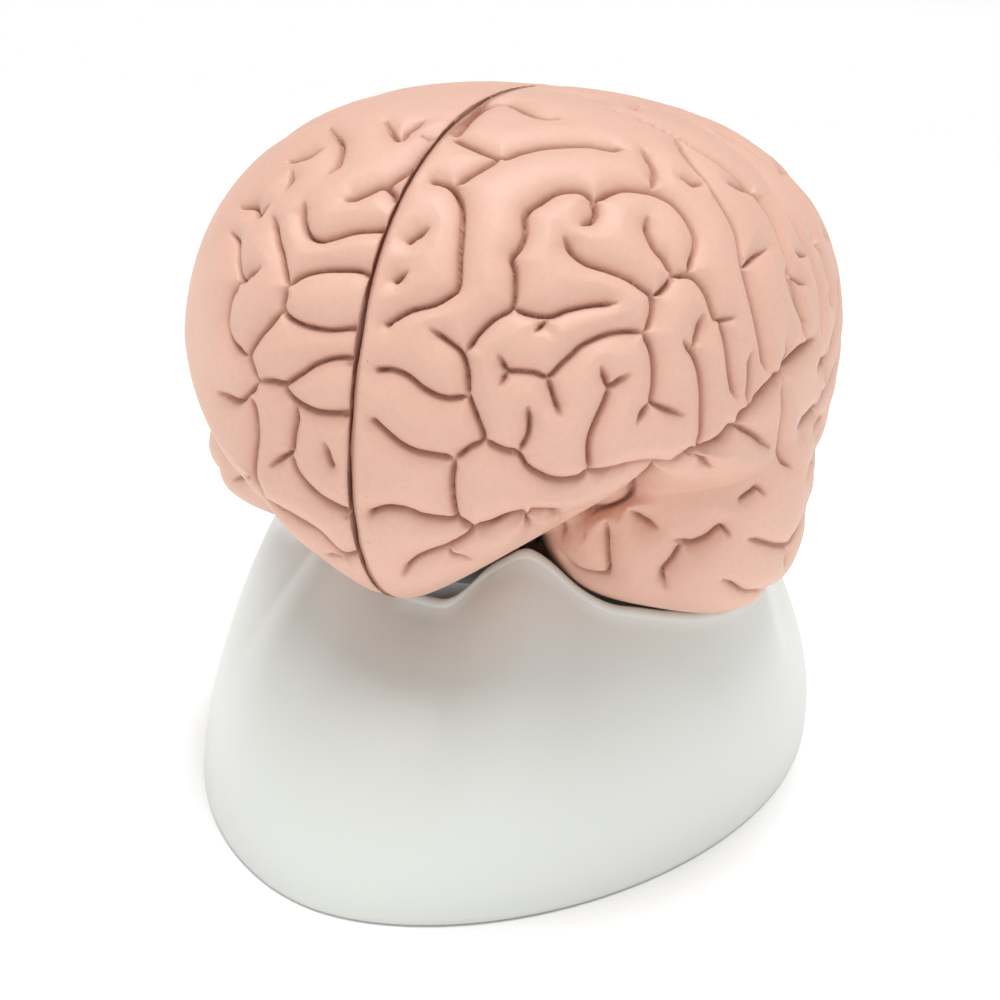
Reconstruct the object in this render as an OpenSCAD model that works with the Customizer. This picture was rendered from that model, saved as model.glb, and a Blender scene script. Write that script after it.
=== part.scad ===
// Life-size teaching model of a human brain in two halves, resting in a sculpted hollow stand.
// Millimetres. X runs across (patient's left is +X), Y from the brow (-Y) to the back, Z up.

/* [Brain] */
// Width of the two halves together
brain_w = 137; // [130:1:141]
// Brow to widest cross-section
brow_l = 89; // [84:1:92]
// Widest cross-section to the back of the head
nape_l = 79; // [74:1:84]
// Height of the crown above the widest level
crown_h = 59.5; // [54:0.5:64]
// Depth of the rounded underside below the widest level
under_h = 56.5; // [52:0.5:60]
// Squareness of the rounded outline
round_n = 2.44; // [2.2:0.02:2.7]
// Height of the widest level above the table
level_z = 96.5; // [94:0.5:100]
// Place of the widest cross-section along Y
level_y = 6; // [3:0.5:9]
// Distance of the bevel under the brow from the widest point
bevel_d = 60.5; // [58:0.5:64]
// Height of the flat orbital surface above the table
orbital_z = 51.5; // [50:0.5:55]
// Gap between the two halves
split_gap = 0.4; // [0.3:0.05:0.8]

/* [Temporal lobe] */
// Distance of the lobe from the middle plane
temporal_x = 37; // [35:0.5:38]
// Place of the lobe along Y
temporal_y = 12; // [10:1:16]
// Height of the lobe
temporal_z = 75; // [73:0.5:77]
// Half width of the lobe
temporal_rx = 30; // [28:0.5:31]
// Half length of the lobe
temporal_ry = 56; // [53:1:58]
// Height of the lobe above its middle
temporal_up = 30; // [28:0.5:31]
// Depth of the lobe below its middle
temporal_rz = 25.5; // [24:0.5:27]
// Outward turn of the lobe's front, in degrees
temporal_turn = 10; // [7:0.5:11]

/* [Cerebellum and stem] */
// Distance of the cerebellar hemisphere from the middle plane
cereb_x = 24; // [20:1:27]
// Place of the cerebellum along Y
cereb_y = 46; // [42:1:48]
// Height of the cerebellum
cereb_z = 55; // [53:0.5:58]
// Half width of one cerebellar hemisphere
cereb_rx = 30; // [27:1:32]
// Half length of the cerebellum
cereb_ry = 29; // [26:1:30]
// Half height of the cerebellum
cereb_rz = 20; // [17:0.5:22]
// Half width of the brain stem
stem_rx = 13; // [10:0.5:15]
// Half depth of the brain stem
stem_ry = 12; // [10:0.5:14]
// Place of the brain stem along Y
stem_y = 20; // [16:1:24]
// Height of the lower end of the brain stem
stem_z = 27; // [22:1:32]

/* [Grooves] */
// Depth of the main grooves
sulcus_d = 3.2; // [2:0.1:4]
// Half width of a groove at the surface
sulcus_w = 1.5; // [1:0.1:2]
// Depth of the fine leaves of the cerebellum
leaf_d = 1.4; // [0.8:0.1:2]
// Spacing of the leaves in degrees
leaf_step = 13; // [10:1:16]
// Depth of the relief on the inner faces
relief_d = 1.6; // [1:0.1:2]

/* [Pegs] */
// Diameter of the joining pegs
peg_d = 6; // [5:0.5:8]
// Length of a peg on each side of the middle plane
peg_l = 10; // [8:0.5:12]
// Clearance of a peg in its socket
peg_fit = 0.05; // [0.03:0.01:0.1]
// Extra depth of a socket past the peg
socket_end = 0.5; // [0.3:0.1:1]
// Place of the front peg along Y
front_peg_y = -38; // [-44:1:-32]
// Place of the rear peg along Y
rear_peg_y = 52; // [46:1:56]
// Height of both pegs
peg_z = 106; // [102:1:110]

/* [Stand] */
// Half width of the foot
foot_w = 74.5; // [71:0.5:78]
// Foot from its widest place to the front
foot_front = 110; // [106:1:114]
// Foot from its widest place to the back
foot_back = 67; // [64:1:70]
// Place of the widest line of the foot along Y
foot_y = 21; // [18:0.5:24]
// Wall of the moulding
wall = 3; // [2.4:0.1:3.4]
// Height of the two front horns of the rim
horn_h = 65; // [62:0.5:68]
// Height of the low part of the rim between horn and side
dip_h = 54; // [52:0.5:56]
// Height of the crest behind the dip
side_h = 59; // [57:0.5:61]
// Height of the low part of the rim beside the cerebellum
flank_h = 42; // [40:0.5:46]
// Height of the rim at the back
rear_h = 56; // [52:0.5:58]
// Lean of the rim at the front, as a part of the foot's plan
front_lean = 0.58; // [0.56:0.01:0.64]
// Lean of the rim at the sides and the back
side_lean = 0.86; // [0.84:0.01:0.9]
// Clearance between the rim and the halves that rest on it
seat_gap = 0.3; // [0.25:0.05:0.6]

/* [Hidden] */
flesh = [0.86, 0.63, 0.55];
ivory = [0.93, 0.94, 0.91];

function unit(v) = v / norm(v);
function mix(a, b, t) = a + (b - a) * min(1, max(0, t));
function ease(t) = let (c = min(1, max(0, t))) c * c * (3 - 2 * c);

// Radius of a rounded lobe along a direction: s = [across, forward, backward, up, down]
function lobe(d, s, n) = pow(pow(abs(d.x) / s[0], n)
    + pow(abs(d.y) / (d.y < 0 ? s[1] : s[2]), n)
    + pow(abs(d.z) / (d.z > 0 ? s[3] : s[4]), n), -1 / n);
// A plane seen from inside, softened where it meets the rounded form
function cut(r, d, m, h) = let (a = d * m) a < 0.02 ? r
    : pow(pow(r, -20) + pow(h / a, -20), -1 / 20);

cer_c = [0, level_y, level_z];
cer_s = [brain_w / 2, brow_l, nape_l, crown_h, under_h];
bevel_m = [1, -0.1, -1.2];
tem_c = [temporal_x, temporal_y, temporal_z];
tem_s = [temporal_rx, temporal_ry, temporal_ry, temporal_up, temporal_rz];
tem_n = 3;
cbl_c = [cereb_x, cereb_y, cereb_z];
cbl_s = [cereb_rx, cereb_ry, cereb_ry, cereb_rz, cereb_rz];
cbl_n = 2.2;
stem_c = [0, stem_y, cereb_z];
stem_s = [stem_rx, stem_ry, stem_ry, cereb_rz, cereb_z - stem_z];

// Lobe i in a direction from its own middle: 0 cerebrum, 1 temporal, 2 cerebellum, 3 stem
function radius(i, d) = i == 0
    ? cut(cut(lobe(d, cer_s, round_n), [min(abs(d.x), 0.58), d.y, d.z], bevel_m, bevel_d),
        d, [0, 0, -1], level_z - orbital_z)
    : i == 1 ? lobe([d.x * cos(temporal_turn) + d.y * sin(temporal_turn),
        d.y * cos(temporal_turn) - d.x * sin(temporal_turn), d.z], tem_s, tem_n)
    : i == 2 ? lobe(d, cbl_s, cbl_n)
    : lobe(d, stem_s, cbl_n);
centres = [cer_c, tem_c, cbl_c, stem_c];
// Signed distance along the ray from a lobe's middle; negative inside
function out1(p, i) = let (v = p - centres[i], r = max(norm(v), 0.01)) r - radius(i, v / r);
function out(p) = let (q = [abs(p.x), p.y, p.z]) min(out1(q, 0), out1(q, 1), out1(q, 2), out1(q, 3));
function normal(p) = unit([out(p + [0.4, 0, 0]) - out(p - [0.4, 0, 0]),
    out(p + [0, 0.4, 0]) - out(p - [0, 0.4, 0]), out(p + [0, 0, 0.4]) - out(p - [0, 0, 0.4])]);

// Where a sight line first meets the brain; a line that misses ends at its nearest pass
function halve(o, d, a, b, k) = let (m = (a + b) / 2) k == 0 ? o + d * b
    : out(o + d * m) < 0 ? halve(o, d, a, m, k - 1) : halve(o, d, m, b, k - 1);
function march(o, d, t, best, bt) = t > 600 ? o + d * bt
    : let (f = out(o + d * t)) f < 0 ? halve(o, d, t - 6, t, 8)
    : march(o, d, t + max(3, f * 0.5), min(best, f), f < best ? t : bt);

// A drawing of the brain from one side: turn, height angle and roll of the view, distance, scale,
// and the point that the view looks at. The drawing is 1000 units wide with its middle at 500, 500.
function view(az, el, roll, dist, scale, at, shift) = let (
    r0 = [cos(az), sin(az), 0], b = [sin(az) * cos(el), -cos(az) * cos(el), sin(el)],
    u0 = cross(b, r0), r = r0 * cos(roll) + u0 * sin(roll), u = u0 * cos(roll) - r0 * sin(roll))
    [at + r * shift + b * dist, r, u, b, scale];
front_view = view(21.4, 18.2, 5.4, 306.5, 1174, [0, 21, 54.5], -11.1);
side_view = view(90, 0, 0, 400, 2000, [0, 5, 95], 0);
back_view = view(180, 10, 0, 400, 2000, [0, 5, 95], 0);
top_view = view(0, 90, 0, 400, 2000, [0, 5, 95], 0);
// The drawings fit a brain of this width, length and height, and stretch with the real one
drawn = [134, 168, 116];
stretch = [brain_w / drawn.x, (brow_l + nape_l) / drawn.y, (crown_h + under_h) / drawn.z];
function warp(v) = [v.x * stretch.x, v.y * stretch.y, v.z * stretch.z];
function sight(v, q) = let (d = -v[3] + v[1] * (q.x - 500) / v[4] - v[2] * (q.y - 500) / v[4],
    o = cer_c + warp(v[0] - cer_c)) march(o, unit(warp(d)), 120, 1e6, 120);
function course(v, line) = [for (q = line) sight(v, q)];

// Grooves of the patient's left half, drawn in the front view
left_front = [
    [[432,175],[456,188],[461,230],[456,283],[430,302],[393,316],[384,323]],
    [[456,133],[500,151],[541,141],[589,139],[623,145]],
    [[500,151],[466,171],[454,181]],
    [[456,128],[485,102],[519,102],[558,115]],
    [[584,221],[598,208],[589,188],[558,186],[526,208],[519,244],[515,285],[493,317],[465,351]],
    [[595,196],[625,183],[655,187],[688,210],[701,242],[693,271]],
    [[645,147],[658,169],[655,184]],
    [[650,215],[659,244],[676,276],[657,293]],
    [[675,273],[703,278],[722,317],[738,317]],
    [[566,235],[589,259],[630,274],[656,294],[647,331]],
    [[512,305],[550,314],[596,302],[617,301]],
    [[647,331],[611,333],[572,356],[548,377],[519,371],[499,356]],
    [[548,377],[559,409],[561,416]],
    [[647,331],[659,365],[657,403],[686,416]],
    [[604,368],[613,387],[631,375]],
    [[613,387],[599,424],[593,475]],
    [[528,409],[528,438],[519,454]],
    [[482,441],[505,453],[528,470],[565,484],[608,476],[650,468],[686,465],[698,455]],
    [[688,341],[705,370],[708,416],[701,453]],
    [[724,318],[734,353],[741,399]],
    [[756,353],[756,378],[753,404]],
    [[679,135],[710,176],[742,230],[756,293],[764,327],[771,370]],
    [[701,453],[727,442],[747,419],[771,392],[805,353]],
    [[749,266],[761,254],[770,248]],
    [[732,181],[747,184],[759,192]],
    [[376,370],[403,376],[442,399],[467,395]],
    [[430,329],[459,352],[467,395],[482,441],[453,461]],
    [[372,422],[398,447],[434,458],[453,461]],
    [[453,461],[451,504],[471,534]],
    [[367,517],[403,514],[447,524],[471,534],[447,552],[402,579]],
    [[471,534],[510,523],[560,519],[616,505],[653,471]],
    [[604,525],[606,574],[582,576],[558,554]],
    [[630,513],[642,521],[655,528]],
    [[676,542],[708,539],[722,529],[731,536]],
    [[681,545],[661,576],[664,590]],
    [[742,500],[762,488],[768,495]],
    [[739,426],[759,436],[773,448]]];
// Grooves of the patient's right half, drawn in the front view
right_front = [
    [[345,197],[364,188],[384,181],[398,198],[404,218]],
    [[301,201],[299,215],[316,236],[350,227],[382,227]],
    [[270,215],[272,235],[280,271],[283,284]],
    [[283,284],[296,273],[335,266],[369,273],[382,290]],
    [[283,284],[277,307],[301,325],[325,329],[359,328],[372,346]],
    [[277,307],[253,336],[244,351],[254,381]],
    [[254,381],[279,384],[294,375],[330,358],[350,359],[363,378]],
    [[279,384],[294,405],[330,415],[356,424]],
    [[228,231],[232,259],[236,278],[256,266]],
    [[236,278],[222,310],[227,344],[241,356]],
    [[215,393],[233,402],[254,382]],
    [[328,125],[339,145],[328,169]],
    [[385,118],[398,133],[422,118]],
    [[287,158],[301,153],[318,147]],
    [[238,205],[253,211],[265,203]],
    [[244,397],[251,436],[248,475],[262,504],[284,518],[316,538],[345,561],[360,557]],
    [[291,407],[288,438],[277,460],[267,467]],
    [[286,453],[301,487],[335,512],[360,521]]];
// Grooves behind the crown, shared by both halves: beside, behind and above
side_lines = [
    [[330,190],[352,255],[335,320],[350,390]],
    [[425,150],[440,215],[415,270],[430,340],[420,395]],
    [[500,165],[515,240],[490,300],[505,370]],
    [[405,436],[470,428],[530,400],[575,350]],
    [[515,240],[590,225],[650,245],[720,225]],
    [[560,300],[610,290],[640,330],[620,380]],
    [[350,500],[430,490],[520,470],[600,440],[670,390],[690,330]],
    [[380,570],[470,560],[560,545],[640,510],[710,480]],
    [[720,300],[770,340],[780,400]],
    [[740,450],[800,440],[850,460]],
    [[800,290],[850,340],[870,400]],
    [[600,150],[625,190]],
    [[790,190],[765,245],[720,225]]];
right_side_lines = [
    [[200,330],[260,380],[330,400],[405,436]],
    [[235,200],[250,260],[220,300]],
    [[180,450],[240,470],[300,490]]];
back_lines = [
    [[455,170],[400,200],[390,250]],
    [[470,290],[420,280],[370,310],[330,290]],
    [[475,380],[430,360],[400,400],[350,390]],
    [[465,460],[410,470],[360,450],[310,460]]];
top_lines = [
    [[525,455],[580,470],[640,450]],
    [[520,380],[570,360],[600,400],[650,390]],
    [[520,290],[575,300],[620,270]],
    [[530,210],[580,230],[630,200]],
    [[525,560],[570,545],[610,570]]];
// Relief of the inner face, as Y and Z: cingulate groove, corpus callosum, stem and cerebellum
inner_lines = [
    [[-58,92],[-52,116],[-30,132],[0,136],[28,130],[44,116]],
    [[-40,96],[-36,108],[-18,118],[6,120],[26,114],[34,102],[28,96]],
    [[28,96],[20,104],[4,109],[-16,108],[-28,100],[-30,92],[-40,96]],
    [[-14,98],[-2,90],[8,96],[2,102],[-14,98]],
    [[44,116],[56,104],[66,88]],
    [[34,62],[46,60],[58,62]],
    [[46,60],[50,50],[60,46]]];

// One groove: a V swept along points of the surface, shallow at both ends
module groove(p, deep, half) {
    n = len(p);
    above = 1.2;
    ring = [for (i = [0 : n - 1]) let (
        t = unit(p[min(i + 1, n - 1)] - p[max(i - 1, 0)]), o = normal(p[i]), b = unit(cross(t, o)),
        k = i == 0 || i == n - 1 ? 0.35 : 1, w = half * (1 + above / deep) * (0.5 + k / 2))
        each [p[i] + o * above + b * w, p[i] + o * above - b * w, p[i] - o * deep * k]];
    polyhedron(ring, [[1, 0, 2], [3 * n - 3, 3 * n - 2, 3 * n - 1],
        for (i = [0 : n - 2], e = [[1, 0], [0, 2], [2, 1]]) let (u = 3 * i + e[0], v = 3 * i + e[1])
            each [[v, u, u + 3], [v, u + 3, v + 3]]], convexity = 8);
}

// The skin of one lobe as rings of latitude
module blob(i, nlon, nlat) {
    pts = [for (a = [0 : nlat], o = [0 : nlon - 1]) let (la = -86 + 172 * a / nlat,
        lo = (o + 0.5) * 360 / nlon, d = [cos(la) * cos(lo), cos(la) * sin(lo), sin(la)])
        centres[i] + d * radius(i, d)];
    polyhedron(pts, [[for (o = [0 : nlon - 1]) o], [for (o = [nlon - 1 : -1 : 0]) nlat * nlon + o],
        for (a = [0 : nlat - 1], o = [0 : nlon - 1]) let (j = (o + 1) % nlon)
            each [[a * nlon + o, (a + 1) * nlon + o, (a + 1) * nlon + j],
                [a * nlon + o, (a + 1) * nlon + j, a * nlon + j]]], convexity = 4);
}

// Leaves of the cerebellum: level grooves round its outer side
module leaves() {
    for (la = [-34 : leaf_step : 8])
        groove([for (lo = [12 : 18 : 102]) let (d = [cos(la) * cos(lo), cos(la) * sin(lo), sin(la)])
            cbl_c + d * radius(2, d)], leaf_d, leaf_d * 0.6);
}

// The left half with the given front drawing; mirrored for the right half
module half(front, flip) {
    m = flip ? -1 : 1;
    resize([(brain_w - split_gap) / 2, brow_l + nape_l, 0])
    difference() {
        union() {
            blob(0, 44, 20);
            blob(1, 26, 12);
            blob(2, 24, 12);
            blob(3, 16, 8);
        }
        translate([split_gap / 2 - 400, -200, -200]) cube([400, 400, 400]);
        for (l = front) groove([for (p = course(front_view, l)) [m * p.x, p.y, p.z]], sulcus_d, sulcus_w);
        for (l = flip ? concat(side_lines, right_side_lines) : side_lines)
            groove(course(side_view, l), sulcus_d, sulcus_w);
        for (l = back_lines) groove(course(back_view, l), sulcus_d, sulcus_w);
        for (l = top_lines) groove(course(top_view, l), sulcus_d, sulcus_w);
        leaves();
        for (l = inner_lines) inner_groove(l);
    }
}
module inner_groove(l) {
    n = len(l);
    x = split_gap / 2;
    ring = [for (i = [0 : n - 1]) let (a = l[min(i + 1, n - 1)] - l[max(i - 1, 0)],
        b = [0, a.y, -a.x] / norm(a) * relief_d)
        each [[x - 1, l[i].x, l[i].y] + b * 1.6, [x - 1, l[i].x, l[i].y] - b * 1.6,
            [x + relief_d, l[i].x, l[i].y]]];
    polyhedron(ring, [[0, 1, 2], [3 * n - 2, 3 * n - 3, 3 * n - 1],
        for (i = [0 : n - 2], e = [[0, 1], [2, 0], [1, 2]]) let (u = 3 * i + e[0], v = 3 * i + e[1])
            each [[v, u, u + 3], [v, u + 3, v + 3]]], convexity = 8);
}
module peg_bore(y, d) {
    translate([0, y, peg_z]) rotate([0, 90, 0])
        cylinder(d = d, h = peg_l + socket_end, $fn = 48);
}
module left_half() {
    color(flesh) difference() {
        half(left_front, false);
        peg_bore(front_peg_y, peg_d + 2 * peg_fit);
        peg_bore(rear_peg_y, peg_d + 2 * peg_fit);
    }
}
module right_half() {
    color(flesh) difference() {
        mirror([1, 0, 0]) half(right_front, true);
        mirror([1, 0, 0]) peg_bore(front_peg_y, peg_d + 2 * peg_fit);
        mirror([1, 0, 0]) peg_bore(rear_peg_y, peg_d + 2 * peg_fit);
    }
}
module peg(y) {
    color([0.8, 0.8, 0.78]) translate([-peg_l, y, peg_z]) rotate([0, 90, 0])
        cylinder(d = peg_d, h = 2 * peg_l, $fn = 48);
}
module front_peg() { peg(front_peg_y); }
module rear_peg() { peg(rear_peg_y); }

// Plan of the stand at an angle from the front, shrunk by k and moved in by w
function plan(a, k, w) = let (d = [sin(a), -cos(a)], n = d.y < 0 ? 1.8 : 2.9,
    r = pow(pow(abs(d.x) / foot_w, n) + pow(abs(d.y) / (d.y < 0 ? foot_front : foot_back), n), -1 / n)
    * k - w) [d.x * r, foot_y + d.y * r];
// How far the rim leans in, and how high it stands, at an angle from the front
function lean(a) = mix(front_lean, side_lean, ease(abs(a) / 60));
function sculpt(a) = let (b = abs(a))
    b < 15 ? mix(orbital_z, horn_h, ease((b - 4) / 11))
    : b < 36 ? mix(horn_h, dip_h, ease((b - 15) / 21))
    : b < 60 ? mix(dip_h, side_h, ease((b - 36) / 24))
    : b < 105 ? mix(side_h, flank_h, ease((b - 60) / 45))
    : mix(flank_h, rear_h, ease((b - 110) / 50));
// Underside of the brain above a point of the plan, or a large number beside it
function above(p, z) = z > level_z ? 999 : out([p.x, p.y, z]) < 0 ? z : above(p, z + 0.5);
function rim(a) = let (k = lean(a)) min(sculpt(a),
    min([for (w = [-1, wall / 2, wall + 1]) above(plan(a, k, w), stem_z)]) - seat_gap - 0.5);

module base() {
    n = 72;
    lip = wall * 0.62;
    rows = [for (i = [0 : n - 1]) let (a = -180 + 360 * (i + 0.5) / n, h = rim(a), k = lean(a),
        outer = [for (u = [0, 0.04, 0.35, 0.6, 0.8, 1]) let (
            q = plan(a, 1 - (1 - k) * pow(u, 2.2), u == 0 ? 1 : 0)) [q.x, q.y, u * (h - lip)]],
        inner = [for (u = [1, 0.6, 0.25, 0]) let (
            q = plan(a, 1 - (1 - k) * pow(u, 2.2), wall)) [q.x, q.y, u * (h - lip)]],
        c = plan(a, k, wall / 2), e = unit(plan(a, k, 0) - c),
        top = [for (t = [30, 65, 115, 150]) [c.x + e.x * wall / 2 * cos(t), c.y + e.y * wall / 2 * cos(t),
            h - lip + lip * sin(t)]])
        concat(outer, top, inner)];
    m = len(rows[0]);
    color(ivory) polyhedron([for (r = rows) each r],
        [for (i = [0 : n - 1], j = [0 : m - 1]) let (a = i * m, b = ((i + 1) % n) * m, j2 = (j + 1) % m)
            each [[a + j, a + j2, b + j2], [a + j, b + j2, b + j]]], convexity = 8);
}

base();
left_half();
right_half();
front_peg();
rear_peg();
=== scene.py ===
# A brain in two halves on its stand. Sizes are millimetres until a mesh is made.
import math

import bmesh
import bpy
import numpy as np
from mathutils import Matrix, Vector
from mathutils.bvhtree import BVHTree
from mathutils.kdtree import KDTree


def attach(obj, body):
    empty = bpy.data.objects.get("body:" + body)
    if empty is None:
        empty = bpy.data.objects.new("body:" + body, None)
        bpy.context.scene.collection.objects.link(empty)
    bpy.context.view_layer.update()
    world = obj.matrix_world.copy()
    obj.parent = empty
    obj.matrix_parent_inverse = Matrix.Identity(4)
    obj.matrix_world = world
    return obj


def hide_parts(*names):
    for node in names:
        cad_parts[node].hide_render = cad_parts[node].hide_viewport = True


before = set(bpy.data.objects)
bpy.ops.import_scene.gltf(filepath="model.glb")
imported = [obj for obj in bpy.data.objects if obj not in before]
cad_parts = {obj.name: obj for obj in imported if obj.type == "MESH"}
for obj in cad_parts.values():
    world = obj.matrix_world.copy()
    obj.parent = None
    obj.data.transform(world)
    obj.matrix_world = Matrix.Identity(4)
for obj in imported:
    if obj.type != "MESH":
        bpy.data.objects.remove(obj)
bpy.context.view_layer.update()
MM = 0.001

# Brain: middles of the lobes, and sizes across, forward, backward, up and down
BRAIN_W, BROW_L, NAPE_L, CROWN_H, UNDER_H = 137.0, 89.0, 79.0, 59.5, 56.5
ROUND_N, TEMPORAL_N, CEREB_N = 2.44, 3.0, 2.2
CER_C = np.array([0.0, 6.0, 96.5])
TEM_C = np.array([37.0, 12.0, 75.0])
CBL_C = np.array([24.0, 46.0, 55.0])
STEM_C = np.array([0.0, 20.0, 55.0])
STEM_Z = 27.0
TEMPORAL_SIZE = (30, 56, 56, 30, 25.5)
CEREBELLUM_SIZE = (30, 29, 29, 20, 20)
STEM_SIZE = (13, 12, 12, 20, STEM_C[2] - STEM_Z)
LOBE_COLUMNS, LOBE_RINGS, POLE = 160, 90, 89.5
# Slanted and flat undersides of the cerebrum, with an edge that is rounded by a high power
BEVEL_M, BEVEL_D, BEVEL_SIDE, ORBITAL_Z, CUT_N = (1.0, -0.1, -1.2), 60.5, 0.58, 51.5, 20.0
TEMPORAL_TURN = math.radians(10)
SPLIT_GAP = 0.4
# Grooves: the folds swell between narrow slits, which grow shallow towards their ends
SLIT_D, SLIT_W, SWELL_D, SWELL_W = 1.7, 0.34, 2.8, 6.5
GROOVE_REACH, END_DEPTH, END_POINTS, MIDDLE_X = 9.0, 0.45, 6, 5
DEEP, FINE = 1.4, 0.8
DRAWN_STEP, FRONT_STEP, FINE_STEP = 2, 1.4, 0.35
# Leaves of the cerebellum, in degrees round it
LEAF_D, LEAF_RISE, LEAF_TURN, LEAF_CLEAR = 1.5, range(-40, 12, 7), range(-20, 125), 0.6
# The fissure between the halves opens towards the surface over the last few millimetres
FISSURE_GAP, FISSURE_DEEP, EDGE_D, EDGE_W = 0.45, 6.0, 1.8, 3.2
# Darkening, partly stain and partly painted shade: widths of the dark line in a groove (stain with painted
# crease shade), of the painted shade beside it, and of the painted shadow in the fissure between the halves
LINE_W, SHADE_HAZE_W, SHADE_HAZE, FISSURE_SHADOW, FISSURE_SHADOW_W, SPECK_W = 0.4, 2.0, 0.06, 0.92, 0.5, 7.0
# Strength of the dark groove line, part stain and part painted crease shade: at the sides, and more near
# the middle
CENTRE_STAIN_AND_SHADE, SIDE_STAIN_AND_SHADE, CENTRE_X, CENTRE_W = 0.25, 0.3, 8, 18
# Inner faces: they meet with no slit to see through
SHUT, RELIEF_D, RELIEF_W, PEG_Y, PEG_Z, PEG_L, PEG_R = 0.01, 1.6, 1.2, (-38.0, 52.0), 106.0, 10.5, 3.4
INNER_LINES = """-58,92 -52,116 -30,132 0,136 28,130 44,116
-40,96 -36,108 -18,118 6,120 26,114 34,102 28,96
28,96 20,104 4,109 -16,108 -28,100 -30,92 -40,96
-14,98 -2,90 8,96 2,102 -14,98
44,116 56,104 66,88
34,62 46,60 58,62
46,60 50,50 60,46"""
VOXEL, CALM = 0.38, 6
FACES = 190000
# Stand: heights of the rim from the front to the back, and how far the wall leans in at each
FOOT_W, FOOT_FRONT, FOOT_BACK, FOOT_Y, WALL = 74.5, 110.0, 67.0, 21.0, 3.0
HORN_H, DIP_H, SIDE_H, FLANK_H, REAR_H = 65.0, 54.0, 59.0, 42.0, 56.0
FRONT_LEAN, SIDE_LEAN, FLANK_LEAN, LEAN_N, SEAT_GAP = 0.58, 0.86, 0.81, 2.0, 0.3
FRONT_N, BACK_N, NOSE, LIP, FOOT_BEVEL = 1.8, 2.9, 0.06, WALL * 0.62, 0.8
STAND_COLUMNS, INNER_RINGS, SEAT_STEP, RIM_ROUNDS, WALL_ROUNDS = 288, 16, 0.5, 3, 90
# Floor and the stand's footprint on it, in metres
FLOOR, FOOTPRINT = 40, (0.15, 0.184)


# Rounded lobes: radius along unit directions d, for s = across, forward, backward, up, down
def lobe(d, s, n):
    across = np.abs(d[:, 0]) / s[0]
    along = np.abs(d[:, 1]) / np.where(d[:, 1] < 0, s[1], s[2])
    upward = np.abs(d[:, 2]) / np.where(d[:, 2] > 0, s[3], s[4])
    return (across ** n + along ** n + upward ** n) ** (-1 / n)


def cut(r, a, h):
    limit = h / np.maximum(a, 0.02)
    return np.where(a < 0.02, r, (r ** -CUT_N + limit ** -CUT_N) ** (-1 / CUT_N))


def cerebrum(d):
    r = lobe(d, (BRAIN_W / 2, BROW_L, NAPE_L, CROWN_H, UNDER_H), ROUND_N)
    side = np.minimum(np.abs(d[:, 0]), BEVEL_SIDE)
    r = cut(r, side * BEVEL_M[0] + d[:, 1] * BEVEL_M[1] + d[:, 2] * BEVEL_M[2], BEVEL_D)
    return cut(r, -d[:, 2], CER_C[2] - ORBITAL_Z)


def temporal(d):
    c, s = math.cos(TEMPORAL_TURN), math.sin(TEMPORAL_TURN)
    turned = np.stack([d[:, 0] * c + d[:, 1] * s, d[:, 1] * c - d[:, 0] * s, d[:, 2]], 1)
    return lobe(turned, TEMPORAL_SIZE, TEMPORAL_N)


def cerebellum(d):
    return lobe(d, CEREBELLUM_SIZE, CEREB_N)


def stem(d):
    return lobe(d, STEM_SIZE, CEREB_N)


LOBES = ((CER_C, cerebrum), (TEM_C, temporal), (CBL_C, cerebellum), (STEM_C, stem))


# How far points lie outside the brain, less than nothing where they are inside
def outside(p):
    q = np.array(p, float)
    q[:, 0] = np.abs(q[:, 0])
    best = np.full(len(q), 1e9)
    for centre, radius in LOBES:
        v = q - centre
        r = np.maximum(np.linalg.norm(v, axis=1), 0.01)
        best = np.minimum(best, r - radius(v / r[:, None]))
    return best


# Drawings of the grooves are 1000 units wide, and their middle is at 500, 500
def view(az, el, roll, dist, scale, at, shift=0.0):
    az, el, roll = (math.radians(v) for v in (az, el, roll))
    right = Vector((math.cos(az), math.sin(az), 0))
    back = Vector((math.sin(az) * math.cos(el), -math.cos(az) * math.cos(el), math.sin(el)))
    up = back.cross(right)
    r = right * math.cos(roll) + up * math.sin(roll)
    u = up * math.cos(roll) - right * math.sin(roll)
    return Vector(at) + r * shift + back * dist, r, u, back, scale


FRONT = view(21.4, 18.2, 5.4, 306.5, 1174, (0, 21, 54.5), -11.1)
# The other sides, the same for both halves
SIDE = view(90, 0, 0, 400, 2000, (0, 5, 95))
BACK = view(180, 10, 0, 400, 2000, (0, 5, 95))
TOP = view(0, 90, 0, 400, 2000, (0, 5, 95))

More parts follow.
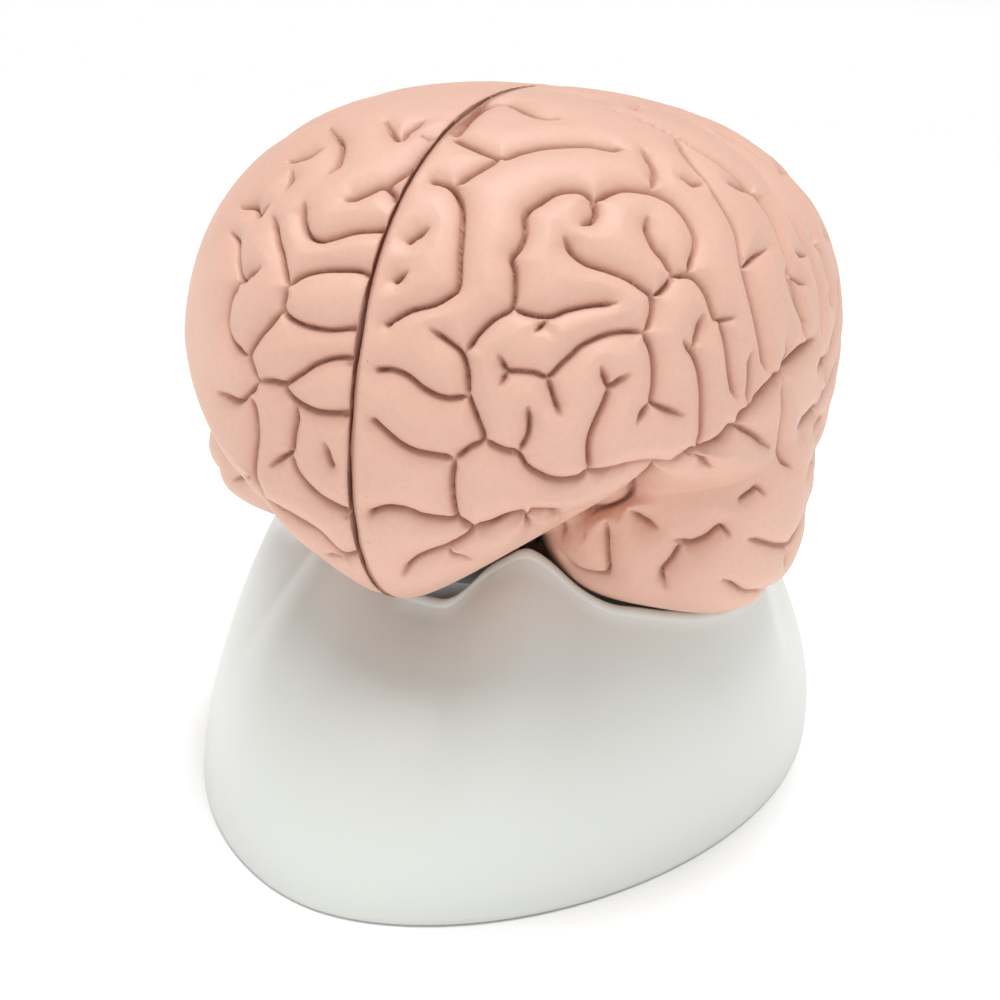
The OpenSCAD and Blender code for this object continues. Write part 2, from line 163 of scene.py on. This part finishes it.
LEFT_FRONT = """432,175 447,179 456,188 461,205 460,230 458,254 456,283 447,293 430,302 408,308 \
393,316 384,323
456,133 471,140 500,151 519,146 541,141 565,139 589,139 606,142 623,145
500,151 483,161 466,171 454,181
456,128 471,111 485,102 505,98 519,102 536,110 558,115
584,221 594,215 598,208 596,198 589,188 577,184 558,186 541,196 526,208 525,230 519,244 512,254 \
515,268 515,285 512,305 493,317 476,334 465,351
595,196 611,187 625,183 640,184 655,187 674,196 688,210 698,227 701,242 696,261 693,271
645,147 655,159 658,169 655,184
650,215 651,227 659,244 669,256 675,268 676,276 667,288 657,293
675,273 693,272 703,278 713,293 722,317 738,317
566,235 575,249 589,259 611,266 630,274 647,285 656,294 657,312 652,327 647,331
512,305 528,311 550,314 572,307 596,302 617,301
548,319 537,330
647,331 630,330 611,333 589,342 572,356 558,370 548,377 536,373 519,371 507,370 499,356
507,371 501,385
548,377 553,392 559,409 561,416
647,331 655,346 659,365 659,387 657,403 669,410 686,416
657,403 650,411 641,424
604,368 608,377 613,387 625,380 631,375
613,387 608,404 599,424 592,445 593,475
528,409 530,424 528,438 519,454
482,441 493,448 505,453 518,456 528,470 548,481 565,484 582,482 591,476 608,476 630,471 650,468 \
671,469 686,465 698,455
688,341 698,352 705,370 708,392 708,416 707,436 701,453
707,315 703,334 698,348
724,318 730,332 734,353 737,378 741,399
756,353 756,378 753,404
679,135 693,155 710,176 727,201 742,230 749,266 756,293 764,327 771,370
407,237 417,230 426,225
393,278 399,273 404,270
790,341 793,356 784,373
791,264 797,290 810,322
749,266 761,254 770,248
684,175 705,181
732,181 747,184 759,192
635,107 642,104
374,370 388,370 403,376 422,391 442,399 461,398 467,395
430,329 444,339 459,352 465,370 467,395 474,416 482,441 468,450 453,461
369,422 384,436 398,447 413,454 434,458 453,461
453,461 450,482 451,504 456,523 471,534
367,517 384,512 403,514 422,521 447,524 459,525 471,534 466,542 447,552 422,561 408,571 402,579
447,554 454,562 471,564
528,519 532,533 536,542
559,519 559,535
604,525 604,547 606,574 601,579 582,576 567,567 558,554
630,513 642,521 655,528
699,459 708,467 713,471
676,542 691,545 708,539 722,529 731,536
681,545 671,562 661,576 664,590
742,500 754,494 762,488 768,495
788,380 789,409 784,450 795,467
739,426 759,436 773,448"""
LEFT_DEEP = """471,534 490,531 510,523 531,519 560,519 589,513 616,505 635,491 650,479 653,471
653,471 671,469 686,463 701,453 713,450 727,442 738,428 747,419 771,392 788,370 805,353 819,339"""
RIGHT_FRONT = """443,141 432,140 421,152 411,163 397,172 384,181
426,179 419,171 411,163
345,197 364,188 384,181 398,198 405,205 408,218
301,201 299,215 304,230 316,236 330,233 350,227 369,225 385,226 391,233 393,245 391,257
270,215 272,235 277,254 280,271 283,284
283,284 296,273 316,267 335,266 355,267 369,273 380,286
283,284 279,295 277,307 284,317 301,325 325,329 345,327 359,328 370,340
277,307 265,322 253,336 244,351 243,358 248,373 254,381
254,381 267,382 279,384 294,375 311,364 330,358 350,359 359,368 363,376
279,384 282,394 294,405 311,413 330,415 350,415 357,421
228,231 232,239 232,259 236,278 245,271 256,266
236,278 226,293 222,310 221,327 227,344 241,356
215,393 224,399 233,402 244,393 254,382
328,125 338,135 339,145 335,159 328,169
385,118 398,133 407,125 422,118
287,158 301,153 318,147
238,205 250,202 253,211 265,203
289,169 284,186
244,397 249,414 251,436 249,455 248,475 253,489 262,504 284,518 301,528 316,538 330,552 345,561 360,557
291,407 291,421 288,438 286,453 277,460 267,467
286,453 289,470 301,487 316,501 335,512 350,517 360,521
321,445 323,458 327,468
232,482 245,479
266,513 265,523
325,559 339,562"""
SIDE_LINES = """330,190 352,255 335,320 350,390
425,150 440,215 415,270 430,340 420,395
500,165 515,240 490,300 505,370
405,436 470,428 530,400 575,350
515,240 590,225 650,245 720,225
560,300 610,290 640,330 620,380
350,500 430,490 520,470 600,440 670,390 690,330
380,570 470,560 560,545 640,510 710,480
720,300 770,340 780,400
740,450 800,440 850,460
800,290 850,340 870,400
600,150 625,190
790,190 765,245 720,225
450,525 500,515
560,490 585,505"""
RIGHT_SIDE_LINES = """200,330 260,380 330,400 405,436
235,200 250,260 220,300
180,450 240,470 300,490"""
BACK_LINES = """455,170 400,200 390,250
470,290 420,280 370,310 330,290
475,380 430,360 400,400 350,390
465,460 410,470 360,450 310,460"""
TOP_LINES = """525,455 580,470 640,450
520,380 570,360 600,400 650,390
520,290 575,300 620,270
530,210 580,230 630,200
525,560 570,545 610,570"""
# Finer lines in millimetres: beside as Y,Z, behind as X,Z and above as X,Y
SIDE_MORE = """46,90 56,94 66,92
-36,75 -22,71 -8,74 8,72
16,77 28,74 40,79 52,76
-26,61 -12,58 4,61 18,59
-17,129 -10,128
79,92 81,84
78,120 81,109 78,100
38,130 44,124 41,116
-2,107 1,101
-6,97 -3,91
22,105 25,99
-23,125 -17,123
6,117 1,119
4,129 -2,131
0,85 4,80
29,93 33,87 31,83
-22,71 -20,66
-8,74 -5,79
28,74 30,68
40,79 44,85
52,112 60,116
56,130 62,134
56,105 59,99
70,100 74,95
60,86 68,83 73,84
56,94 58,88
46,70 54,68
24,61 36,63 46,61
9,73 16,77
-38,66 -32,62 -26,61
20,141 22,135
31,138 34,132"""
BACK_MORE = """6,103 16,101 26,104 36,101
5,89 14,92 24,88 34,90
8,77 18,75 28,77
42,116 45,107 42,98
26,104 28,97
14,92 13,84
40,88 44,80 41,72
45,107 51,105
28,143 34,139 40,140
30,83 36,80
36,128 41,123
22,116 24,110"""
TOP_MORE = """24,14 31,10 38,13
19,-7 25,-3 30,-6
12,39 11,32
22,44 29,42
36,20 42,24
5,-22 14,-18 20,-23
38,-2 44,3
9,20 11,14
40,34 46,38
25,24 29,18"""


def lines(text):
    return [[tuple(float(v) for v in p.split(",")) for p in row.split()] for row in text.splitlines()]


def smooth_line(pts, step):
    pts = [np.array(p, float) for p in pts]
    pts = [2 * pts[0] - pts[1]] + pts + [2 * pts[-1] - pts[-2]]
    out = []
    for a, b, c, d in zip(pts, pts[1:], pts[2:], pts[3:]):
        n = max(2, int(np.linalg.norm(c - b) / step))
        for i in range(n):
            t = i / n
            out.append(0.5 * (2 * b + (c - a) * t + (2 * a - 5 * b + 4 * c - d) * t * t
                              + (3 * b - a - 3 * c + d) * t ** 3))
    return out + [pts[-2]]


# Sight lines of a drawing, mirrored for the right half where the sign is negative
def drawn(sight):
    eye, right, up, back, scale = sight

    def ray(q, sign):
        d = (-back + right * ((q[0] - 500) / scale) - up * ((q[1] - 500) / scale)).normalized()
        return Vector((eye.x * sign, eye.y, eye.z)), Vector((d.x * sign, d.y, d.z))
    return ray


def from_side(q, sign):
    return Vector((300 * sign, q[0], q[1])), Vector((-sign, 0, 0))


def from_back(q, sign):
    return Vector((q[0] * sign, 300, q[1])), Vector((0, -1, 0))


def from_above(q, sign):
    return Vector((q[0] * sign, q[1], 400)), Vector((0, 0, -1))


# Rows of points on the surface, each with its normal and its depth
def project(tree, sight, text, sign, step, depth=1.0):
    rows = []
    for line in lines(text):
        pts = []
        for q in smooth_line(line, step):
            hit, normal, _, _ = tree.ray_cast(*sight(q, sign))
            if hit is not None:
                pts.append((hit, normal))
        n = len(pts)
        for i, (p, o) in enumerate(pts):
            end = 1.0 if abs(p.x) < MIDDLE_X else min(i, n - 1 - i) / END_POINTS
            rows.append((p, o, depth * (END_DEPTH + (1 - END_DEPTH) * min(1.0, end))))
    return rows


def mesh_object(name, verts, faces):
    mesh = bpy.data.meshes.new(name)
    mesh.from_pydata([tuple(v) for v in verts], [], faces)
    mesh.validate()
    obj = bpy.data.objects.new(name, mesh)
    bpy.context.collection.objects.link(obj)
    return obj


def evaluated(obj, name, kind, **settings):
    mod = obj.modifiers.new(name, kind)
    for key, value in settings.items():
        setattr(mod, key, value)
    graph = bpy.context.evaluated_depsgraph_get()
    mesh = bpy.data.meshes.new_from_object(obj.evaluated_get(graph))
    obj.modifiers.clear()
    old = obj.data
    obj.data = mesh
    bpy.data.meshes.remove(old)


def coords(mesh):
    co = np.empty(len(mesh.vertices) * 3, np.float32)
    mesh.vertices.foreach_get("co", co)
    return co.reshape(-1, 3).astype(float)


def set_coords(mesh, co):
    mesh.vertices.foreach_set("co", co.astype(np.float32).ravel())
    mesh.update()


def normals(mesh):
    no = np.empty(len(mesh.vertices) * 3, np.float32)
    mesh.vertices.foreach_get("normal", no)
    return no.reshape(-1, 3).astype(float)


# One smooth half: the lobes joined, cut at the middle plane and made one skin
def smooth_half(name, sign):
    bm = bmesh.new()
    for centre, radius in LOBES:
        nlon, nlat = LOBE_COLUMNS, LOBE_RINGS
        la = np.radians(np.linspace(-POLE, POLE, nlat + 1))
        lo = np.radians(np.arange(nlon) * 360 / nlon)
        grid = np.stack([np.outer(np.cos(la), np.cos(lo)), np.outer(np.cos(la), np.sin(lo)),
                         np.outer(np.sin(la), np.ones(nlon))], -1).reshape(-1, 3)
        pts = centre + grid * radius(grid)[:, None]
        part = bmesh.new()
        vs = [part.verts.new(p) for p in pts]
        part.faces.new(vs[:nlon][::-1])
        part.faces.new(vs[-nlon:])
        for a in range(nlat):
            for o in range(nlon):
                j = (o + 1) % nlon
                part.faces.new((vs[a * nlon + o], vs[a * nlon + j], vs[(a + 1) * nlon + j],
                                vs[(a + 1) * nlon + o]))
        cutting = bmesh.ops.bisect_plane(part, geom=part.verts[:] + part.edges[:] + part.faces[:],
                                         plane_co=(SPLIT_GAP / 2, 0, 0), plane_no=(-1, 0, 0),
                                         clear_outer=True)
        rim = [e for e in cutting["geom_cut"] if isinstance(e, bmesh.types.BMEdge)]
        if rim:
            bmesh.ops.holes_fill(part, edges=rim)
        temp = bpy.data.meshes.new("part")
        part.to_mesh(temp)
        bm.from_mesh(temp)
        bpy.data.meshes.remove(temp)
        part.free()
    bmesh.ops.scale(bm, vec=(sign, 1, 1), verts=bm.verts)
    if sign < 0:
        bmesh.ops.reverse_faces(bm, faces=bm.faces)
    mesh = bpy.data.meshes.new(name)
    bm.to_mesh(mesh)
    bm.free()
    obj = bpy.data.objects.new(name, mesh)
    bpy.context.collection.objects.link(obj)
    evaluated(obj, "skin", "REMESH", mode="VOXEL", voxel_size=VOXEL)
    return obj


def groove_rows(obj, sign, front):
    tree = BVHTree.FromPolygons([v.co for v in obj.data.vertices],
                                [tuple(p.vertices) for p in obj.data.polygons])
    rows = project(tree, drawn(FRONT), front, 1, FRONT_STEP)
    if sign > 0:
        rows += project(tree, drawn(FRONT), LEFT_DEEP, 1, FRONT_STEP, DEEP)
    else:
        rows += project(tree, drawn(SIDE), RIGHT_SIDE_LINES, sign, DRAWN_STEP)
    for sight, text in ((SIDE, SIDE_LINES), (BACK, BACK_LINES), (TOP, TOP_LINES)):
        rows += project(tree, drawn(sight), text, sign, DRAWN_STEP)
    for sight, text in ((from_side, SIDE_MORE), (from_back, BACK_MORE), (from_above, TOP_MORE)):
        rows += project(tree, sight, text, sign, FINE_STEP, FINE)
    for la in LEAF_RISE:
        c, s = math.cos(math.radians(la)), math.sin(math.radians(la))
        for lo in LEAF_TURN:
            a = math.radians(lo)
            d = np.array([[c * math.cos(a), c * math.sin(a), s]])
            p = CBL_C + d[0] * cerebellum(d)[0]
            if outside(p[None] + d * LEAF_CLEAR)[0] > 0 and p[0] > 1:
                o = Vector(d[0] * (sign, 1, 1))
                rows.append((Vector(p * (sign, 1, 1)), o, LEAF_D / (SLIT_D + SWELL_D)))
    return rows


def tree_of(rows):
    kd = KDTree(len(rows))
    for i, (p, _, _) in enumerate(rows):
        kd.insert(p, i)
    kd.balance()
    return kd


# Sideways distance to the nearest groove, and that groove's depth
def nearest(kd, rows, co, reach):
    dist = np.full(len(co), 99.0)
    deep = np.zeros(len(co))
    for i, p in enumerate(co):
        hit, j, r = kd.find(p)
        if r < reach:
            _, o, k = rows[j]
            v = Vector(p) - hit
            dist[i] = math.sqrt(max(0.0, v.length_squared - v.dot(o) ** 2))
            deep[i] = k
    return dist, deep


# Depth of the inner face: sockets for the pegs, and the grooves of the middle of the brain
def relief(co):
    depth = np.zeros(len(co))
    for line in lines(INNER_LINES):
        pts = np.array(smooth_line(line, 0.5))
        for p in pts:
            r2 = (co[:, 1] - p[0]) ** 2 + (co[:, 2] - p[1]) ** 2
            depth = np.maximum(depth, RELIEF_D * np.exp(-r2 / RELIEF_W))
    for y in PEG_Y:
        hole = (co[:, 1] - y) ** 2 + (co[:, 2] - PEG_Z) ** 2 < PEG_R ** 2
        depth[hole] = PEG_L
    return depth


# One half: swollen folds first, then the slits between them, then the darkening as a painted layer: stain
# with painted shade in the grooves, painted shadow in the fissure
def brain_half(name, sign, front):
    obj = smooth_half(name, sign)
    rows = groove_rows(obj, sign, front)
    kd = tree_of(rows)
    co, no = coords(obj.data), normals(obj.data)
    inner = SPLIT_GAP / 2
    face = (co[:, 0] * sign) < inner + 0.2
    dist, deep = nearest(kd, rows, co, GROOVE_REACH)
    edge = np.abs(co[:, 0]) - inner
    near = 1 - np.minimum(dist / SWELL_W, 1)
    rim = 1 - np.clip(edge / EDGE_W, 0, 1)
    uneven = 1 + 0.45 * np.sin(0.17 * co[:, 2] + 1.2) + 0.25 * np.sin(0.53 * (co[:, 2] - co[:, 1]))
    gap = SHUT + FISSURE_GAP * uneven * np.clip(1 + outside(co) / FISSURE_DEEP, 0, 1)
    swell = np.maximum(deep * SWELL_D * (1 - np.sqrt(1 - near ** 2)), EDGE_D * (1 - np.sqrt(1 - rim ** 2)))
    swell[face] = 0
    co -= no * swell[:, None]
    set_coords(obj.data, co)
    evaluated(obj, "calm", "SMOOTH", factor=0.5, iterations=CALM)
    co = coords(obj.data)
    slit = deep * SLIT_D * np.exp(-(dist / SLIT_W) ** 2)
    slit[face] = 0
    co -= no * slit[:, None]
    co[:, 0] = sign * np.where(face, gap + relief(co), np.maximum(co[:, 0] * sign, gap))
    set_coords(obj.data, co * MM)
    tris = sum(len(p.vertices) - 2 for p in obj.data.polygons)
    if tris > FACES:
        evaluated(obj, "thin", "DECIMATE", ratio=FACES / tris)
    co = coords(obj.data) / MM
    dist, deep = nearest(kd, rows, co, GROOVE_REACH)
    beside = np.maximum(np.abs(co[:, 0]) - CENTRE_X, 0)
    central = SIDE_STAIN_AND_SHADE + CENTRE_STAIN_AND_SHADE * np.exp(-(beside / CENTRE_W) ** 2)
    # Dark groove line (stain and painted crease shade), and painted shade in a haze beside it
    stain_and_shade = deep * (central * np.exp(-(dist / LINE_W) ** 2) + SHADE_HAZE * np.exp(-(dist / SHADE_HAZE_W) ** 2))
    edge = np.abs(co[:, 0]) - inner
    # Painted shadow in the fissure between the halves, where the gap is shaded
    stain_and_shade = np.maximum(stain_and_shade, FISSURE_SHADOW * np.exp(-(edge / FISSURE_SHADOW_W) ** 2))
    layer = obj.data.attributes.new("groove", "FLOAT", "POINT")
    layer.data.foreach_set("value", np.clip(stain_and_shade, 0, 1).astype(np.float32))
    near = obj.data.attributes.new("fissure", "FLOAT", "POINT")
    near.data.foreach_set("value", np.exp(-(edge / SPECK_W) ** 2).astype(np.float32))
    obj.data.polygons.foreach_set("use_smooth", [True] * len(obj.data.polygons))
    return obj


def ease(t):
    c = np.clip(t, 0, 1)
    return c * c * (3 - 2 * c)


def mix(a, b, t):
    return a + (b - a) * np.clip(t, 0, 1)


# Outline of the stand at an angle from the front, shrunk by k and moved in by w
def plan(a, k, w):
    d = np.stack([np.sin(a), -np.cos(a)], -1)
    n = np.where(d[..., 1] < 0, FRONT_N, BACK_N)
    along = np.where(d[..., 1] < 0, FOOT_FRONT, FOOT_BACK)
    across = np.where(d[..., 1] < 0, np.hypot(d[..., 0], NOSE), np.abs(d[..., 0]))
    r = ((across / FOOT_W) ** n + (np.abs(d[..., 1]) / along) ** n) ** (-1 / n) * k - w
    return d * r[..., None] + (0, FOOT_Y)


def lean(a):
    b = np.abs(np.degrees(a))
    return np.select([b < 60, b < 110], [
        mix(FRONT_LEAN, SIDE_LEAN, ease(b / 60)), mix(SIDE_LEAN, FLANK_LEAN, ease((b - 60) / 40))],
        mix(FLANK_LEAN, SIDE_LEAN, ease((b - 110) / 35)))


# Height of the rim: low under the brow, a horn beside it, low flanks and a high back
def sculpt(a):
    b = np.abs(np.degrees(a))
    return np.select([b < 15, b < 36, b < 60, b < 105], [
        mix(ORBITAL_Z, HORN_H, ease((b - 4) / 11)), mix(HORN_H, DIP_H, ease((b - 15) / 21)),
        mix(DIP_H, SIDE_H, ease((b - 36) / 24)), mix(SIDE_H, FLANK_H, ease((b - 60) / 45))],
        mix(FLANK_H, REAR_H, ease((b - 110) / 50)))


# The rim stays under the brain, which rests in it
def rim_height(a):
    top = sculpt(a)
    k = lean(a)
    for w in (0, WALL / 2, WALL):
        xy = plan(a, k, w)
        for i in range(len(a)):
            zs = np.arange(STEM_Z, CER_C[2], SEAT_STEP)
            p = np.column_stack([np.full(len(zs), xy[i, 0]), np.full(len(zs), xy[i, 1]), zs])
            inside = np.nonzero(outside(p) < 0)[0]
            if len(inside):
                top[i] = min(top[i], zs[inside[0]] - SEAT_GAP)
    return top


def calmed(h, rounds):
    for _ in range(rounds):
        h = (np.roll(h, 1) + h * 2 + np.roll(h, -1)) / 4
    return h


# The wall leans in as it rises, by a height that changes slowly round the stand, so it stays smooth
def stand():
    n = STAND_COLUMNS
    a = np.radians(-180 + 360 * (np.arange(n) + 0.5) / n)
    h = calmed(rim_height(a) - LIP, RIM_ROUNDS)
    full = np.maximum(calmed(h, WALL_ROUNDS), h)
    rows = []

    def shrink(z):
        return 1 - (1 - lean(a)) * (z / full) ** LEAN_N

    for u in np.concatenate([[0, 0.012], np.linspace(0.03, 1, 26)]):
        q = plan(a, shrink(u * h), FOOT_BEVEL if u == 0 else 0.0)
        rows.append(np.column_stack([q, u * h]))
    k = shrink(h)
    mid, out = plan(a, k, WALL / 2), plan(a, k, 0)
    for t in range(15, 180, 15):
        q = mid + (out - mid) * math.cos(math.radians(t))
        rows.append(np.column_stack([q, h + LIP * math.sin(math.radians(t))]))
    for u in np.linspace(1, 0, INNER_RINGS):
        q = plan(a, shrink(u * h), WALL)
        rows.append(np.column_stack([q, u * h]))
    m = len(rows)
    verts = np.concatenate(rows) * MM
    faces = [(r * n + i, r * n + (i + 1) % n, ((r + 1) % m) * n + (i + 1) % n, ((r + 1) % m) * n + i)
             for r in range(m) for i in range(n)]
    obj = mesh_object("stand_shell", verts, faces)
    obj.data.polygons.foreach_set("use_smooth", [True] * len(obj.data.polygons))
    return obj


def material(name, colour, rough):
    mat = bpy.data.materials.new(name)
    mat.use_nodes = True
    tree = mat.node_tree
    shader = tree.nodes["Principled BSDF"]
    shader.inputs["Base Color"].default_value = (*colour, 1)
    shader.inputs["Roughness"].default_value = rough
    return mat, tree, shader


def noise(tree, scale, detail, coord):
    node = tree.nodes.new("ShaderNodeTexNoise")
    node.inputs["Scale"].default_value = scale
    node.inputs["Detail"].default_value = detail
    tree.links.new(coord, node.inputs["Vector"])
    return node.outputs["Fac"]


def ramp(tree, source, stops):
    node = tree.nodes.new("ShaderNodeValToRGB")
    while len(node.color_ramp.elements) < len(stops):
        node.color_ramp.elements.new(0.5)
    for element, (at, colour) in zip(node.color_ramp.elements, stops):
        element.position = at
        element.color = (*colour, 1)
    tree.links.new(source, node.inputs["Fac"])
    return node.outputs["Color"]


def blend(tree, fac, a, b, mode="MIX"):
    node = tree.nodes.new("ShaderNodeMix")
    node.data_type = "RGBA"
    node.blend_type = mode
    for socket, value in ((node.inputs[0], fac), (node.inputs[6], a), (node.inputs[7], b)):
        if isinstance(value, bpy.types.NodeSocket):
            tree.links.new(value, socket)
        elif isinstance(value, tuple):
            socket.default_value = (*value, 1)
        else:
            socket.default_value = value
    return node.outputs[2]


def multiply(tree, a, b):
    node = tree.nodes.new("ShaderNodeMath")
    node.operation = "MULTIPLY"
    for socket, value in zip(node.inputs, (a, b)):
        if isinstance(value, bpy.types.NodeSocket):
            tree.links.new(value, socket)
        else:
            socket.default_value = value
    return node.outputs[0]


def bump(tree, shader, height, strength, distance):
    node = tree.nodes.new("ShaderNodeBump")
    node.inputs["Strength"].default_value = strength
    node.inputs["Distance"].default_value = distance
    tree.links.new(height, node.inputs["Height"])
    tree.links.new(node.outputs["Normal"], shader.inputs["Normal"])


# Brain: satin vinyl in two close tones, stained and darkened with painted shade in the grooves, darkened
# with painted shadow in the fissure, and speckled along the fissure
def flesh():
    mat, tree, shader = material("flesh_vinyl", (0.8, 0.5, 0.4), 0.5)
    coord = tree.nodes.new("ShaderNodeTexCoord").outputs["Object"]
    groove = tree.nodes.new("ShaderNodeAttribute")
    groove.attribute_name = "groove"
    fissure = tree.nodes.new("ShaderNodeAttribute")
    fissure.attribute_name = "fissure"
    tone = ramp(tree, noise(tree, 26, 3, coord), [(0.3, (0.70, 0.425, 0.328)), (0.7, (0.75, 0.465, 0.365))])
    fine = ramp(tree, noise(tree, 900, 2, coord), [(0.35, (0.97, 0.965, 0.96)), (0.6, (1, 1, 1))])
    skin = blend(tree, 1.0, tone, fine, "MULTIPLY")
    # Groove stain with painted crease shade, and painted shadow in the fissure, in one dark colour
    stain_and_shade = blend(tree, groove.outputs["Fac"], skin, (0.23, 0.062, 0.03))
    dots = ramp(tree, noise(tree, 1400, 1, coord), [(0.72, (0, 0, 0)), (0.76, (1, 1, 1))])
    speck = multiply(tree, multiply(tree, dots, fissure.outputs["Fac"]), 0.35)
    colour = blend(tree, speck, stain_and_shade, (0.25, 0.09, 0.055))
    tree.links.new(colour, shader.inputs["Base Color"])
    rough = ramp(tree, noise(tree, 60, 3, coord), [(0.3, (0.44,) * 3), (0.7, (0.54,) * 3)])
    tree.links.new(rough, shader.inputs["Roughness"])
    shader.inputs["Specular IOR Level"].default_value = 0.4
    bump(tree, shader, noise(tree, 1600, 3, coord), 0.10, 0.0002)
    return mat


# Stand: smooth off-white plastic with a thin coat
def ivory():
    mat, tree, shader = material("ivory_plastic", (0.8, 0.82, 0.77), 0.34)
    coord = tree.nodes.new("ShaderNodeTexCoord").outputs["Object"]
    tone = ramp(tree, noise(tree, 9, 2, coord), [(0.3, (0.655, 0.675, 0.64)), (0.7, (0.68, 0.70, 0.665))])
    tree.links.new(tone, shader.inputs["Base Color"])
    rough = ramp(tree, noise(tree, 45, 3, coord), [(0.3, (0.31,) * 3), (0.7, (0.38,) * 3)])
    tree.links.new(rough, shader.inputs["Roughness"])
    shader.inputs["Coat Weight"].default_value = 0.15
    shader.inputs["Coat Roughness"].default_value = 0.25
    bump(tree, shader, noise(tree, 1100, 2, coord), 0.05, 0.0001)
    return mat


def peg_plastic():
    mat, tree, shader = material("peg_plastic", (0.6, 0.6, 0.58), 0.5)
    coord = tree.nodes.new("ShaderNodeTexCoord").outputs["Object"]
    tone = ramp(tree, noise(tree, 120, 2, coord), [(0.3, (0.56, 0.56, 0.54)), (0.7, (0.64, 0.64, 0.62))])
    tree.links.new(tone, shader.inputs["Base Color"])
    return mat


def dress(obj, mat):
    obj.data.materials.clear()
    obj.data.materials.append(mat)


left = brain_half("left_folds", 1, LEFT_FRONT)
right = brain_half("right_folds", -1, RIGHT_FRONT)
shell = stand()
vinyl, plastic, pale = flesh(), ivory(), peg_plastic()
for piece, node, mat, slot in ((left, "left_half", vinyl, "flesh"), (right, "right_half", vinyl, "flesh"),
                               (shell, "base", plastic, "stand")):
    dress(piece, mat)
    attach(piece, "root")
    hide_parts(node)
for node in ("front_peg", "rear_peg"):
    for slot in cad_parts[node].material_slots:
        slot.material = pale

# Pale floor, which glows only outside the stand's footprint, so the hollow inside stays dark
corners = [(-FLOOR, -FLOOR, 0), (FLOOR, -FLOOR, 0), (FLOOR, FLOOR, 0), (-FLOOR, FLOOR, 0)]
floor = mesh_object("floor", corners, [(0, 1, 2, 3)])
mat, tree, shader = material("floor_white", (0.86, 0.86, 0.86), 0.8)
shader.inputs["Emission Color"].default_value = (1, 1, 1, 1)
place = tree.nodes.new("ShaderNodeVectorMath")
place.operation = "MULTIPLY"
place.inputs[1].default_value = (1 / FOOTPRINT[0], 1 / FOOTPRINT[1], 0)
tree.links.new(tree.nodes.new("ShaderNodeTexCoord").outputs["Object"], place.inputs[0])
away = tree.nodes.new("ShaderNodeVectorMath")
away.operation = "LENGTH"
tree.links.new(place.outputs[0], away.inputs[0])
glow = ramp(tree, away.outputs["Value"], [(0.45, (0, 0, 0)), (0.56, (0.22,) * 3)])
tree.links.new(glow, shader.inputs["Emission Strength"])
dress(floor, mat)

# Light: a bright horizon, a dimmer middle and a soft top
world = bpy.data.worlds.new("studio")
bpy.context.scene.world = world
world.use_nodes = True
tree = world.node_tree
split = tree.nodes.new("ShaderNodeSeparateXYZ")
tree.links.new(tree.nodes.new("ShaderNodeTexCoord").outputs["Generated"], split.inputs[0])
heights = [(0.1, (1, 1, 1)), (0.34, (0.36,) * 3), (0.65, (0.3,) * 3), (0.95, (0.75,) * 3)]
sky = ramp(tree, split.outputs["Z"], heights)
tree.links.new(sky, tree.nodes["Background"].inputs[0])


def sun(name, place, power, spread):
    data = bpy.data.lights.new(name, "SUN")
    data.energy, data.angle = power, math.radians(spread)
    obj = bpy.data.objects.new(name, data)
    bpy.context.collection.objects.link(obj)
    obj.rotation_euler = Vector(place).to_track_quat("Z", "Y").to_euler()


sun("key", (-0.05, -0.12, 0.99), 2.35, 40)
sun("fill", (0.7, -0.6, 0.35), 0.3, 60)

# Camera, at the photograph's place
eye, r, u, b, scale = FRONT
camera = bpy.data.cameras.new("camera")
camera.sensor_fit = "HORIZONTAL"
camera.sensor_width = 36
camera.lens = 36 * scale / 1000
camera.clip_start = 0.01
cam = bpy.data.objects.new("camera", camera)
bpy.context.collection.objects.link(cam)
turn = Matrix((r, u, b)).transposed().to_4x4()
cam.matrix_world = Matrix.Translation(eye * MM) @ turn
bpy.context.scene.camera = cam
bpy.context.scene.view_settings.view_transform = "Standard"
